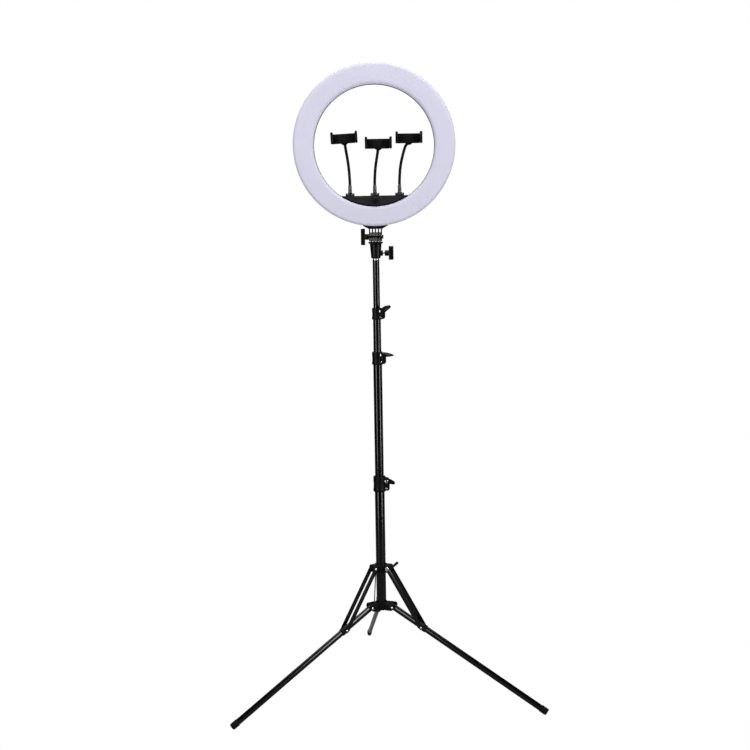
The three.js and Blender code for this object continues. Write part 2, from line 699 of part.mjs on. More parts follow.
// The rubber foot, from the leg's pivot along +X before the leg slopes down.
function footCap() {
  const cap = legOval(FOOT_FROM, FOOT_TO, FOOT_WALL, FOOT_WALL / 2);
  const socket = legOval(FOOT_FROM - CUT, LEG_LENGTH + GAP, GAP);
  const floor = block([FOOT_FROM - 90, -40, -60], [FOOT_TO + 60, 40, 0]).translate(LEG_PIVOT.r - 40, 0, 0);
  const sloped = cut(cap, socket).rotateY(rad(LEG_DROP_DEG)).translate(LEG_PIVOT.r, 0, LEG_PIVOT.z);
  return cut(sloped, floor);
}

// The band around a leg where its strut holds it.
function legBracket() {
  const band = rod("x", STRUT_ON_LEG - 12, STRUT_ON_LEG + 12, BAR_IN - 0.35, { steps: 16 });
  const bore = legOval(STRUT_ON_LEG - 13, STRUT_ON_LEG + 13, GAP);
  return cut(band, bore);
}

const strutRun = LEG_PIVOT.r + STRUT_ON_LEG * Math.cos(rad(LEG_DROP_DEG)) - COLLAR_PIVOT.r;
const strutFall = COLLAR_PIVOT.z - LEG_PIVOT.z + STRUT_ON_LEG * Math.sin(rad(LEG_DROP_DEG));
const strutLength = Math.hypot(strutRun, strutFall);
const strutSlopeDeg = THREE.MathUtils.radToDeg(Math.atan2(strutFall, strutRun));

// A pair of flat bars on one pin, from the collar's pivot along +X, with rivet heads at both ends.
function strut(slottedBolt) {
  const outer = BAR_IN + BAR;
  const outline = barOutline(strutLength, BAR_HALF_WIDTH);
  const bars = [-outer, BAR_IN].map((from) => slab(outline, from, from + BAR, 4));
  const pin = rod("y", -outer, outer, 3, { steps: PIN });
  const heads = [0, strutLength].flatMap((x) =>
    [-outer - 1.6, outer - 0.2].map((from) => rod("y", from, from + 1.8, 4.2, { at: [x, 0], steps: SMALL })),
  );
  if (!slottedBolt) return join(...bars, pin, ...heads);
  const head = rod("y", -outer - 3.4, -outer + 0.2, 6.4, { steps: 16 });
  const slot = block([-7, -outer - 4.4, -0.8], [7, -outer - 2.2, 0.8]);
  return cut(join(...bars, pin, ...heads, head), slot);
}

function leg([side, azimuth]) {
  return group(
    [0, 0, 0],
    [0, 0, azimuth - 90],
    group(
      [LEG_PIVOT.r, 0, LEG_PIVOT.z],
      [0, LEG_DROP_DEG, 0],
      piece(`leg_${side}`, legTube(), GLOSS_BLACK),
      piece(`leg_bracket_${side}`, legBracket(), BLACK_PLASTIC),
    ),
    piece(`foot_${side}`, footCap(), RUBBER),
    group(
      [COLLAR_PIVOT.r, 0, COLLAR_PIVOT.z],
      [0, strutSlopeDeg, 0],
      piece(`strut_${side}`, strut(side === "right"), GLOSS_BLACK),
    ),
  );
}

function tripod() {
  return [
    group([0, 0, HUB_BOTTOM], [0, 0, 0], piece("leg_hub", legHub(), BLACK_PLASTIC)),
    group([0, 0, COLLAR_BOTTOM], [0, 0, 0], piece("slide_collar", slideCollar(), BLACK_PLASTIC)),
    group(
      [0, 0, COLLAR_BOTTOM + COLLAR_KNOB_UP],
      [0, 0, COLLAR_KNOB_AT - 90],
      piece("collar_knob", collarKnob(), BLACK_PLASTIC),
    ),
    ...Object.entries(LEGS).map(leg),
  ];
}

// ---- The whole object ----
function ring() {
  return group(
    [0, 0, RING_CENTRE_Z],
    [0, 0, 0],
    piece("rear_housing", rearHousing(), BLACK_PLASTIC),
    piece("front_diffuser", frontDiffuser(), DIFFUSER),
    piece("led_board", ledBoard(), BOARD),
    piece("control_panel", controlPanel(), PANEL_BLACK),
    piece("panel_cover", panelCover(), BLACK_PLASTIC),
    piece("power_inlet", powerInlet(), BLACK_PLASTIC),
    piece("driver_board", driverBoard(), BOARD),
    piece("dimmer_knob", dimmerKnob(), BLACK_PLASTIC),
    ...HOLDERS.flatMap(phoneHolder),
  );
}

function neck() {
  return [
    group(
      [0, 0, TILT_Z],
      [0, 0, 0],
      piece("ring_bracket", ringBracket(), BLACK_PLASTIC),
      piece("tilt_bolt", tiltBolt(), STEEL),
    ),
    group([-STACK_HALF - GAP, 0, TILT_Z], [0, 0, 0], piece("tilt_knob", tiltKnob(), BLACK_PLASTIC)),
    piece("stand_socket", standSocket(), BLACK_PLASTIC),
    group([25, 0, SOCKET_KNOB_Z], [0, 0, 0], piece("socket_knob", socketKnob(), BLACK_PLASTIC)),
  ];
}

const light = new THREE.Group();
light.name = "ring_light";
light.add(ring(), ...neck(), ...mast(), ...tripod());

// The origin is on the floor, under the middle of the object's outline.
const outline = new THREE.Box3().setFromObject(light, true);
const middle = outline.getCenter(new THREE.Vector3());
light.children.forEach((child) => {
  child.position.x -= middle.x;
  child.position.y -= middle.y;
});

export default light;
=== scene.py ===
"""Looks of the ring light on its folding stand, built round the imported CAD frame."""
import json
import math

import bmesh
import bpy
from mathutils import Matrix, Vector


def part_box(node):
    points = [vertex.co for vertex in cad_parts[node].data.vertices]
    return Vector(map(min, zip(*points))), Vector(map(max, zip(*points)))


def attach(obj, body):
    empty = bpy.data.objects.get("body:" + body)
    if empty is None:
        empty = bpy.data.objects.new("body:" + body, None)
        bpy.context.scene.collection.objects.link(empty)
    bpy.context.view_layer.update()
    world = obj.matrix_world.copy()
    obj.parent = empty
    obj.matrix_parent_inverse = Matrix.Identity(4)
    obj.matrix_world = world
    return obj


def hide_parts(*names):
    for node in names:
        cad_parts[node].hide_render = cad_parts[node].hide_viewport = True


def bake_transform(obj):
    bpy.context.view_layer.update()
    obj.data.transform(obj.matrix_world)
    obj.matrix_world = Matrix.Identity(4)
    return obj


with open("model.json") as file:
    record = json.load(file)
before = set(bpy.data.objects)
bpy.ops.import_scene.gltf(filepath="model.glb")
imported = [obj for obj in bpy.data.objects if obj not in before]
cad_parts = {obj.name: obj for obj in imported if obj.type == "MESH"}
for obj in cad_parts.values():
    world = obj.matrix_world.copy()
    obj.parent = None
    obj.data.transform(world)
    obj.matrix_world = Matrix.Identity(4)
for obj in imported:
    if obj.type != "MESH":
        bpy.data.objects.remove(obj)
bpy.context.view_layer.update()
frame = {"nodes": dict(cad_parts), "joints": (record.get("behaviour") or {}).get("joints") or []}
JOINTS = {j["name"]: j for j in frame["joints"]}
MM = 0.001

# ---- Places, all in millimetres from the mast's foot, as in the CAD ----
LOW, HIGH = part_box("base_tube")
MAST = (LOW + HIGH) / 2 / MM
MAST.z = 0


def joint_place(name):
    """A hinge's place, from the mast's foot."""
    return Vector(JOINTS[name]["pos_m"]) / MM - MAST


def node_z(node):
    """Lowest and highest place of a CAD node."""
    low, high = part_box(node)
    return low.z / MM, high.z / MM


GAP = 0.3
RING = Vector((0, 0, (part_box("front_diffuser")[0].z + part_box("front_diffuser")[1].z) / 2 / MM))
RING_RADIUS = 225.0
HOLE_RADIUS = 166.8
HOLE_FIT = 166.14
HOLE_DROP = 3.5
PANEL_DROP = 137.5
PANEL_TOP = -HOLE_DROP - PANEL_DROP
DIMMER = -HOLE_DROP - 152
TILT = joint_place("ring_tilt")
FINGER, SPACE = 3.6, 4.7
STACK = (5 * FINGER + 4 * SPACE) / 2
LEGS = {"left": -55.4, "right": 64.6, "back": 184.6}
LEG_DROP = math.radians(28.1)
LEG_R, LEG_Z = 39.0, 255.0
COLLAR_R, COLLAR_Z = 26.0, 370.0
HUB_FOOT, COLLAR_FOOT = 245, 357  # heights of the undersides of the leg hub and the slide collar
STRUT_ON_LEG = 103.0
LEG_TALL, LEG_WIDE = 9.5, 6.0  # half sizes of the legs' flat oval section
CHEEK_IN, CHEEK = 6.6, 5.0


# ---- Mesh tools ----
def made(name, verts, faces):
    """A mesh object from millimetre corners, in its own frame."""
    mesh = bpy.data.meshes.new(name)
    mesh.from_pydata([tuple(v) for v in verts], [], faces)
    obj = bpy.data.objects.new(name, mesh)
    bpy.context.scene.collection.objects.link(obj)
    bm = bmesh.new()
    bm.from_mesh(mesh)
    bmesh.ops.remove_doubles(bm, verts=bm.verts, dist=1e-4)
    bmesh.ops.recalc_face_normals(bm, faces=bm.faces)
    bm.to_mesh(mesh)
    bm.free()
    return obj


def moved(obj, matrix):
    obj.data.transform(matrix)
    return obj


def baked(obj):
    """Applies the object's modifiers to its mesh."""
    graph = bpy.context.evaluated_depsgraph_get()
    mesh = bpy.data.meshes.new_from_object(obj.evaluated_get(graph))
    obj.modifiers.clear()
    obj.data = mesh
    return obj


def bevelled(obj, width, segments=3, angle=32):
    """Rounds the sharp edges."""
    bevel = obj.modifiers.new("bevel", "BEVEL")
    bevel.width = width
    bevel.segments = segments
    bevel.limit_method = "ANGLE"
    bevel.angle_limit = math.radians(angle)
    return baked(obj)


def merged(name, *parts):
    """One object that holds all these meshes."""
    bm = bmesh.new()
    for part in parts:
        bm.from_mesh(part.data)
        bpy.data.objects.remove(part)
    mesh = bpy.data.meshes.new(name)
    bm.to_mesh(mesh)
    bm.free()
    obj = bpy.data.objects.new(name, mesh)
    bpy.context.scene.collection.objects.link(obj)
    return obj


def carved(obj, *tools):
    """obj less the tools."""
    for tool in tools:
        cut = obj.modifiers.new("cut", "BOOLEAN")
        cut.operation = "DIFFERENCE"
        cut.solver = "EXACT"
        cut.object = tool
        baked(obj)
        bpy.data.objects.remove(tool)
    return obj


def turned(profile, steps=64, wobble=None):
    """A profile of (radius, height) turned about Z. wobble(angle) scales the radius."""
    verts, faces = [], []
    count = len(profile)
    for i in range(steps):
        a = 2 * math.pi * i / steps
        k = wobble(a) if wobble else 1.0
        verts += [(r * k * math.cos(a), r * k * math.sin(a), h) for r, h in profile]
    for i in range(steps):
        here, after = i * count, (i + 1) % steps * count
        faces += [(here + n, after + n, after + n + 1, here + n + 1) for n in range(count - 1)]
    return made("turned", verts, faces)


def rounded(profile, radius, steps=4):
    """The same profile with an arc at each inner corner."""
    out = [profile[0]]
    for before, corner, after in zip(profile, profile[1:], profile[2:]):
        c = Vector(corner)
        a, b = Vector(before) - c, Vector(after) - c
        room = min(radius, a.length * 0.45, b.length * 0.45)
        if room < 1e-3:
            out.append(corner)
            continue
        p, q = c + a.normalized() * room, c + b.normalized() * room
        for i in range(steps + 1):
            t = i / steps
            out.append(tuple(p * (1 - t) ** 2 + c * (2 * t * (1 - t)) + q * t * t))
    return out + [profile[-1]]


def slab(outline, low, high, width=0.6, segments=3):
    """An outline of (x, z) corners made solid along Y, with round edges."""
    n = len(outline)
    verts = [(x, low, z) for x, z in outline] + [(x, high, z) for x, z in outline]
    faces = [tuple(range(n)), tuple(range(2 * n - 1, n - 1, -1))]
    faces += [(i, (i + 1) % n, n + (i + 1) % n, n + i) for i in range(n)]
    obj = made("slab", verts, faces)
    return bevelled(obj, width, segments) if width else obj


def box(low, high, width=0.6, segments=3):
    return slab([(low[0], low[2]), (high[0], low[2]), (high[0], high[2]), (low[0], high[2])],
                low[1], high[1], width, segments)


def arc(x, z, radius, start, end, steps=16):
    """Corners along an arc, angles in degrees from +X towards +Z."""
    turn = [math.radians(start + (end - start) * i / steps) for i in range(steps + 1)]
    return [(x + radius * math.cos(a), z + radius * math.sin(a)) for a in turn]


ALONG_X = Matrix.Rotation(math.radians(90), 4, "Y")
ALONG_Y = Matrix.Rotation(math.radians(-90), 4, "X")


def at(x, y, z, turn=0, drop=0):
    """Moves to a place, turned about Z and then dropped about Y, both in degrees."""
    return (Matrix.Translation((x, y, z)) @ Matrix.Rotation(math.radians(turn), 4, "Z")
            @ Matrix.Rotation(math.radians(drop), 4, "Y"))


def sweep(points, radii, sides=24):
    """A tube with round section along the points, with its own radius at each."""
    verts, faces = [], []
    way = (points[1] - points[0]).normalized()
    side = way.orthogonal().normalized()
    for i, (p, r) in enumerate(zip(points, radii)):
        ahead = points[min(i + 1, len(points) - 1)] - points[max(i - 1, 0)]
        ahead.normalize()
        side = (way.rotation_difference(ahead) @ side).normalized()
        way = ahead
        up = way.cross(side)
        for k in range(sides):
            a = 2 * math.pi * k / sides
            verts.append(p + (side * math.cos(a) + up * math.sin(a)) * r)
    for i in range(len(points) - 1):
        for k in range(sides):
            a, b = i * sides + k, i * sides + (k + 1) % sides
            faces.append((a, b, b + sides, a + sides))
    faces.append(tuple(range(sides)))
    faces.append(tuple(range(len(verts) - 1, len(verts) - sides - 1, -1)))
    return made("sweep", verts, faces)


def piece(obj, name, body, look, slot, *nodes, smooth=34):
    """Names a piece, puts it in the row frame, ties it to its body and finish, and hides its CAD nodes."""
    obj.name = name
    obj.data.name = name
    obj.data.transform(Matrix.Scale(MM, 4) @ Matrix.Translation(MAST))
    obj.data.materials.clear()
    obj.data.materials.append(look)
    obj.data.polygons.foreach_set("use_smooth", [True] * len(obj.data.polygons))
    obj.data.set_sharp_from_angle(angle=math.radians(smooth))
    if body:
        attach(obj, body)
    if nodes:
        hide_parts(*nodes)
    return obj


# ---- Materials ----
def look(name, tones, rough, metal=0.0, grain=(1500, 0.02), blotch=18, stretch=(1, 1, 1), specular=0.5,
         wear=None, subsurface=0.0):
    """A finish with mottled colour and roughness and a fine grain.

    tones and rough are (low, high), and grain is (scale, depth in millimetres).
    """
    made_look = bpy.data.materials.new(name)
    made_look.use_nodes = True
    nodes, links = made_look.node_tree.nodes, made_look.node_tree.links
    shader = nodes["Principled BSDF"]
    shader.inputs["Metallic"].default_value = metal
    shader.inputs["Specular IOR Level"].default_value = specular
    if subsurface:
        shader.inputs["Subsurface Weight"].default_value = subsurface
        shader.inputs["Subsurface Radius"].default_value = (0.006, 0.006, 0.007)
    place = nodes.new("ShaderNodeTexCoord")
    scale = nodes.new("ShaderNodeMapping")
    scale.inputs["Scale"].default_value = stretch
    links.new(place.outputs["Object"], scale.inputs["Vector"])

    def noise(size, detail):
        made_noise = nodes.new("ShaderNodeTexNoise")
        made_noise.inputs["Scale"].default_value = size
        made_noise.inputs["Detail"].default_value = detail
        links.new(scale.outputs["Vector"], made_noise.inputs["Vector"])
        return made_noise.outputs["Fac"]

    mottle = noise(blotch, 5)
    ramp = nodes.new("ShaderNodeValToRGB")
    ramp.color_ramp.elements[0].position = 0.3
    ramp.color_ramp.elements[1].position = 0.7
    ramp.color_ramp.elements[0].color = (*tones[0], 1)
    ramp.color_ramp.elements[1].color = (*tones[1], 1)
    links.new(mottle, ramp.inputs["Fac"])
    colour = ramp.outputs["Color"]
    if wear:
        edge = nodes.new("ShaderNodeNewGeometry")
        sharp = nodes.new("ShaderNodeMapRange")
        sharp.inputs["From Min"].default_value = 0.52
        sharp.inputs["From Max"].default_value = 0.62
        links.new(edge.outputs["Pointiness"], sharp.inputs["Value"])
        mix = nodes.new("ShaderNodeMix")
        mix.data_type = "RGBA"
        mix.inputs["B"].default_value = (*wear, 1)
        links.new(sharp.outputs["Result"], mix.inputs["Factor"])
        links.new(colour, mix.inputs["A"])
        colour = mix.outputs["Result"]
    links.new(colour, shader.inputs["Base Color"])
    spread = nodes.new("ShaderNodeMapRange")
    spread.inputs["From Min"].default_value = 0.3
    spread.inputs["From Max"].default_value = 0.7
    spread.inputs["To Min"].default_value = rough[0]
    spread.inputs["To Max"].default_value = rough[1]
    links.new(noise(blotch * 4, 6), spread.inputs["Value"])
    links.new(spread.outputs["Result"], shader.inputs["Roughness"])
    bump = nodes.new("ShaderNodeBump")
    bump.inputs["Strength"].default_value = 0.35
    bump.inputs["Distance"].default_value = grain[1] * MM
    links.new(noise(grain[0], 3), bump.inputs["Height"])
    links.new(bump.outputs["Normal"], shader.inputs["Normal"])
    return made_look


GLOSS = look("gloss black paint", ((0.0006, 0.0006, 0.0008), (0.0014, 0.0014, 0.0017)), (0.15, 0.18),
             grain=(260, 0.0004), blotch=9, specular=0.38, wear=(0.004, 0.004, 0.0042))
PLASTIC = look("black moulded plastic", ((0.001, 0.001, 0.0012), (0.0026, 0.0026, 0.003)), (0.4, 0.52),
               grain=(2600, 0.05), blotch=30, specular=0.14, wear=(0.008, 0.008, 0.008))
SATIN = look("black satin plastic", ((0.0012, 0.0012, 0.0014), (0.003, 0.003, 0.0034)), (0.26, 0.36),
             grain=(1800, 0.03), blotch=24, specular=0.2, wear=(0.01, 0.01, 0.01))
PANEL = look("panel plastic", ((0.0115, 0.0115, 0.0125), (0.0165, 0.0165, 0.0178)), (0.45, 0.58),
             grain=(3200, 0.06), blotch=40, specular=0.25)
RIM = look("panel rim", ((0.003, 0.0034, 0.008), (0.005, 0.0056, 0.012)), (0.3, 0.4),
           grain=(1800, 0.02), blotch=40, specular=0.3)
MILK = look("milky diffuser", ((0.65, 0.64, 0.765), (0.67, 0.66, 0.785)), (0.5, 0.6), grain=(900, 0.02),
            blotch=6, specular=0.2, subsurface=0.25)
KNOB = look("black knob", ((0.002, 0.002, 0.0022), (0.004, 0.004, 0.0042)), (0.45, 0.55), grain=(1800, 0.02),
            blotch=40, specular=0.12)
RUBBER = look("rubber", ((0.0014, 0.0014, 0.0014), (0.0034, 0.0034, 0.0034)), (0.6, 0.76), grain=(1400, 0.12),
              blotch=60, specular=0.14)
STEEL = look("zinc-plated steel", ((0.42, 0.42, 0.41), (0.58, 0.58, 0.56)), (0.2, 0.34), 1.0,
             grain=(1200, 0.02), blotch=50, stretch=(1, 1, 0.25))
GUNMETAL = look("grey metal", ((0.06, 0.06, 0.06), (0.1, 0.1, 0.1)), (0.26, 0.38), 1.0,
                grain=(1400, 0.02), blotch=60, stretch=(1, 1, 0.2))
BOARD = look("circuit board", ((0.62, 0.64, 0.6), (0.74, 0.76, 0.72)), (0.4, 0.55),
             grain=(700, 0.03), blotch=80)


# ---- Ring ----
def ring_turned(profile, steps=180):
    """A closed profile of (radius, y) turned about the ring's axis, with the hole moved down."""
    verts, faces = [], []
    count = len(profile)
    for i in range(steps):
        a = 2 * math.pi * i / steps
        for r, y in profile:
            share = min(max((RING_RADIUS - r) / (RING_RADIUS - HOLE_RADIUS), 0), 1)
            verts.append((r * math.sin(a), y, r * math.cos(a) - HOLE_DROP * share))
    for i in range(steps):
        here, after = i * count, (i + 1) % steps * count
        for n in range(count):
            m = (n + 1) % count
            faces.append((here + n, after + n, after + m, here + m))
    return moved(made("ring", verts, faces), Matrix.Translation(RING))


def front_diffuser():
    outer, inner, wall = RING_RADIUS, HOLE_RADIUS + 2.1, 2.3
    quarter = [math.radians(90 * i / 10) for i in range(11)]
    lip = HOLE_RADIUS + 0.5
    shape = [(inner + wall, -3), (inner, -3), (inner, -11.4), (lip + 0.3, -11.4)]
    shape += [(inner + 9 - (inner + 9 - lip) * math.cos(a), -13 - 7 * math.sin(a)) for a in quarter]
    shape += [(outer - 9 + 9 * math.sin(a), -13 - 7 * math.cos(a)) for a in quarter]
    shape += [(outer, -3), (outer - wall, -3), (outer - wall, -12.5), (outer - 9.6, -20 + wall),
              (inner + 9.6, -20 + wall), (inner + wall, -12.5)]
    piece(ring_turned(shape), "diffuser", "head", MILK, "diffuser", "front_diffuser")


def rear_housing():
    outer, back = RING_RADIUS - 3, 14
    quarter = [math.radians(90 * i / 6) for i in range(7)]
    shape = [(outer - 2, -7), (outer, -7)]
    shape += [(outer - 4 + 4 * math.cos(a), back - 4 + 4 * math.sin(a)) for a in quarter]
    shape += [(HOLE_RADIUS + 4 - 4 * math.sin(a), back - 4 + 4 * math.cos(a)) for a in quarter]
    shape += [(HOLE_RADIUS, -10.6), (HOLE_RADIUS + 0.4, -11), (HOLE_RADIUS + 1.6, -11),
              (HOLE_RADIUS + 1.6, back - 4.8), (HOLE_RADIUS + 4.8, back - 2), (outer - 4.8, back - 2),
              (outer - 2, back - 4.8)]
    piece(ring_turned(shape), "housing", "head", PLASTIC, "black_plastic", "rear_housing")


def crescent(radius, drop, steps=72):
    """Corners of the part of the hole below a chord."""
    half = math.degrees(math.acos(drop / radius))
    return arc(0, -HOLE_DROP, radius, -90 - half, -90 + half, steps)


def control_panel():
    front = slab(crescent(HOLE_FIT, PANEL_DROP), -12, 12, 0.9, 3)
    boss = moved(turned(rounded([(0, 0), (12, 0), (12, 1), (8.6, 1), (8.3, 0.7), (0, 0.7)], 0.4), 96),
                 Matrix.Translation((0, -12, DIMMER)) @ ALONG_Y.inverted())
    half = math.degrees(math.acos((PANEL_DROP + 1) / (HOLE_FIT - 0.5)))
    inner = arc(0, -HOLE_DROP, HOLE_FIT - 3.4, -90 + half, -90 - half, 72)
    rim = slab(arc(0, -HOLE_DROP, HOLE_FIT - 0.5, -90 - half, -90 + half, 72) + inner, -12.7, -11.5, 0.3, 2)
    place = Matrix.Translation(RING)
    body = moved(merged("panel", front, boss), place)
    piece(body, "panel", "head", PANEL, "panel_plastic", "control_panel")
    piece(moved(rim, place), "panel_rim", "head", RIM, "panel_plastic")


def dimmer_knob():
    flutes = lambda a: 1 - 0.02 * (0.5 + 0.5 * math.cos(36 * a))
    cap = turned(rounded([(0, 8), (5.4, 8), (6.6, 7.4), (7.2, 0), (0, 0)], 0.7), 216, flutes)
    mark = box((-0.5, 2.2, 7.9), (0.5, 6, 8.15), 0.1, 1)
    place = Matrix.Translation((0, -13 - GAP, RING.z + DIMMER)) @ ALONG_Y.inverted()
    piece(moved(cap, place), "dimmer", "dimmer", KNOB, "black_plastic", "dimmer_knob")
    piece(moved(mark, place), "dimmer_mark", "dimmer", GUNMETAL, "gunmetal")


# ---- Phone holders ----
HOLDERS = {
    "left": dict(stem=(0.12, 0.5, -0.86), tilt=-2.8, along=((-69.3, 1, -98), (-72.4, 6, -56))),
    "middle": dict(stem=(-0.1, 0.6, -0.79), tilt=0, along=((0.2, -0.3, -98), (3, -6, -62))),
    "right": dict(stem=(-0.45, 0.5, -0.74), tilt=0, along=((69.3, 1, -98), (73, 6, -58))),
}
for side, holder in HOLDERS.items():
    holder["x"] = joint_place(f"holder_{side}_swivel").x
    holder["ball"] = joint_place(f"clamp_{side}_turn") - RING
FERRULE_TOP = 29
STEM = 13


def smooth_path(points, step=0.35):
    """A centripetal Catmull-Rom curve through the points, as closely spaced places."""
    ends = [points[0] * 2 - points[1], *points, points[-1] * 2 - points[-2]]
    out = []
    for a, b, c, d in zip(ends, ends[1:], ends[2:], ends[3:]):
        t0 = 0.0
        t1 = t0 + (b - a).length ** 0.5
        t2 = t1 + (c - b).length ** 0.5
        t3 = t2 + (d - c).length ** 0.5
        count = max(2, int((c - b).length / step))
        for i in range(count):
            t = t1 + (t2 - t1) * i / count
            p = a.lerp(b, (t - t0) / (t1 - t0))
            q = b.lerp(c, (t - t1) / (t2 - t1))
            r = c.lerp(d, (t - t2) / (t3 - t2))
            p, q = p.lerp(q, (t - t0) / (t2 - t0)), q.lerp(r, (t - t1) / (t3 - t1))
            out.append(p.lerp(q, (t - t1) / (t2 - t1)))
    return [*out, points[-1]]


def gooseneck(side, holder):
    ball, way = Vector(holder["ball"]), Vector(holder["stem"]).normalized()
    points = [Vector((holder["x"], 0, PANEL_TOP + FERRULE_TOP + GAP)), *map(Vector, holder["along"]),
              ball + way * (STEM + 9), ball + way * (STEM + 0.6)]
    path = smooth_path([p + RING for p in points])
    run, radii = 0.0, []
    for i, p in enumerate(path):
        run += (p - path[i - 1]).length if i else 0
        radii.append(3.9 + 0.22 * math.cos(2 * math.pi * run / 2.6))
    obj = piece(sweep(path, radii), f"neck_{side}", None, RUBBER, "rubber", f"gooseneck_{side}", smooth=80)
    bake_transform(obj)


def shoe_and_ferrule(side, holder):
    place = Matrix.Translation(RING + Vector((holder["x"], 0, PANEL_TOP)))
    section = [(-12.25, 0.3), (12.25, 0.3), (12.25, 7.2), (7.05, 7.2), (7.05, 5.2), (9.05, 5.2), (9.05, 2.3),
               (-9.05, 2.3), (-9.05, 5.2), (-7.05, 5.2), (-7.05, 7.2), (-12.25, 7.2)]
    shoe = moved(slab(section, -10, 10, 0.35, 2), place)
    piece(shoe, f"rail_{side}", "head", SATIN, "black_plastic", f"shoe_{side}")
    disc = turned(rounded([(0, 2.6), (8.6, 2.6), (8.6, 4.8), (0, 4.8)], 0.4), 64)
    nut = bevelled(turned([(0, 4.6), (6.6, 4.6), (6.6, 8.5), (0, 8.5)], 6), 0.4, 2)
    sleeve = turned(rounded([(0, 8), (5.2, 8), (5.2, 12.6), (4.7, 13.1), (4.7, 13.9), (5.15, 14.4), (4.9, 24),
                             (4.9, 27.6), (4.2, 29), (0, 29)], 0.5), 64)
    metal = moved(merged("ferrule", disc, nut, sleeve), place)
    piece(metal, f"foot_nut_{side}", f"holder_{side}", GUNMETAL, "gunmetal", f"ferrule_{side}")


def neck_ball(side, holder):
    ball, way = RING + Vector(holder["ball"]), Vector(holder["stem"]).normalized()
    profile = [(6.5 * math.sin(math.radians(a)), -6.5 * math.cos(math.radians(a))) for a in range(0, 140, 6)]
    profile = [(max(r, 0), h) for r, h in profile if not (h > 0 and r < 4.0)]
    profile += [(3.6, 6), (3.6, 8), (4.3, 8.6), (4.3, 12.6), (4.0, 13), (0, 13)]
    turn = Vector((0, 0, 1)).rotation_difference(way).to_matrix().to_4x4()
    obj = moved(turned(profile, 48), Matrix.Translation(ball) @ turn)
    piece(obj, f"ball_stem_{side}", f"neck_tip_{side}", SATIN, "black_plastic", f"neck_ball_{side}")


def clamp_body(side, holder):
    tilt = Matrix.Rotation(math.radians(holder["tilt"]), 4, "Y")
    place = Matrix.Translation(RING + Vector(holder["ball"])) @ tilt
    plate_outline = rounded([(0, -7), (30, -7), (30, 20), (-35, 20), (-35, -7), (0, -7)], 2.4, 4)
    front = slab(plate_outline, -17, -14.3, 0.6, 3)
    back = slab(plate_outline, -10.9, -8, 0.6, 3)
    top = box((-35, -15, 15.1), (30, -10, 20), 0.5, 2)
    bottom = box((-35, -15, -7), (30, -10, -2.1), 0.5, 2)
    jaw = box((-37, -35, -7), (-30.3, -8, 26), 2.4, 5)
    ribs = [box((-30.8, -34 + 3.4 * k, -5), (-30.0, -32.4 + 3.4 * k, 22), 0.25, 2) for k in range(5)]
    pad = slab(rounded([(0, -4.6), (26, -4.6), (26, 17.6), (-27, 17.6), (-27, -4.6), (0, -4.6)], 2, 3),
               -17.4, -16.6, 0.3, 2)
    socket = moved(turned(rounded([(9.4, 7), (12, 7), (10.6, 1.5), (7.6, 1.5), (7.2, 3)], 0.5), 96,
                          lambda a: 1 - 0.03 * (0.5 + 0.5 * math.cos(24 * a))), ALONG_Y.inverted())
    body = moved(merged("clamp", front, back, top, bottom, jaw, socket), place)
    grip = moved(merged("grip", pad, *ribs), place)
    piece(body, f"clamp_{side}", f"clamp_{side}", PLASTIC, "black_plastic", f"clamp_body_{side}")
    piece(grip, f"clamp_pad_{side}", f"clamp_{side}", RUBBER, "rubber")


def clamp_jaw(side, holder):
    tilt = Matrix.Rotation(math.radians(holder["tilt"]), 4, "Y")
    place = Matrix.Translation(RING + Vector(holder["ball"])) @ tilt
    jaw = box((30.3, -35, -7), (37, -8, 26), 2.4, 5)
    tongue = box((-5, -13.9, -1.5), (32, -11.1, 14.5), 0.4, 2)
    ribs = [box((30.0, -34 + 3.4 * k, -5), (30.8, -32.4 + 3.4 * k, 22), 0.25, 2) for k in range(5)]
    piece(moved(merged("jaw", jaw, tongue), place), f"jaw_{side}", f"jaw_{side}", PLASTIC, "black_plastic",
          f"clamp_jaw_{side}")
    piece(moved(merged("ribs", *ribs), place), f"jaw_pad_{side}", f"jaw_{side}", RUBBER, "rubber")


# ---- Neck ----
def finger_places(count):
    return [(i - (count - 1) / 2) * (FINGER + SPACE) for i in range(count)]


def finger(x, thick, to_z):
    """One finger of the hinge, from the tilt axis."""
    if to_z > 0:
        outline = [(-11, to_z), (-11, 6.5)] + arc(0, 0, 12.8, 150, 390, 40) + [(11, 6.5), (11, to_z)]
    else:
        outline = [(11, to_z), (11, -6.5)] + arc(0, 0, 12.8, -30, 210, 40) + [(-11, -6.5), (-11, to_z)]
    turn = Matrix.Rotation(math.radians(90), 4, "Z")
    return moved(slab(outline, x - thick / 2, x + thick / 2, 0.4, 2), turn @ Matrix.Scale(-1, 4, (0, 1, 0)))


def ring_bracket():
    rise = RING.z - TILT.z
    seat = [(-x, rise - math.sqrt((RING_RADIUS - 3 + GAP) ** 2 - x * x)) for x in range(-35, 36, 2)]
    lip = [(-x, rise - math.sqrt((RING_RADIUS + GAP) ** 2 - x * x)) for x in range(-35, 36, 2)]
    under = [(-35, 31), (-STACK, 22.3), (STACK, 22.3), (35, 31)]
    rear = slab(under + seat, -2.1, 13, 0.8, 3)
    front = slab(under + lip, -9, -1.5, 0.8, 3)
    fingers = [finger(x, FINGER, 24) for x in finger_places(5)]
    place = Matrix.Translation(TILT)
    piece(moved(merged("bracket", rear, front, *fingers), place), "saddle", "head", PLASTIC, "black_plastic",
          "ring_bracket")


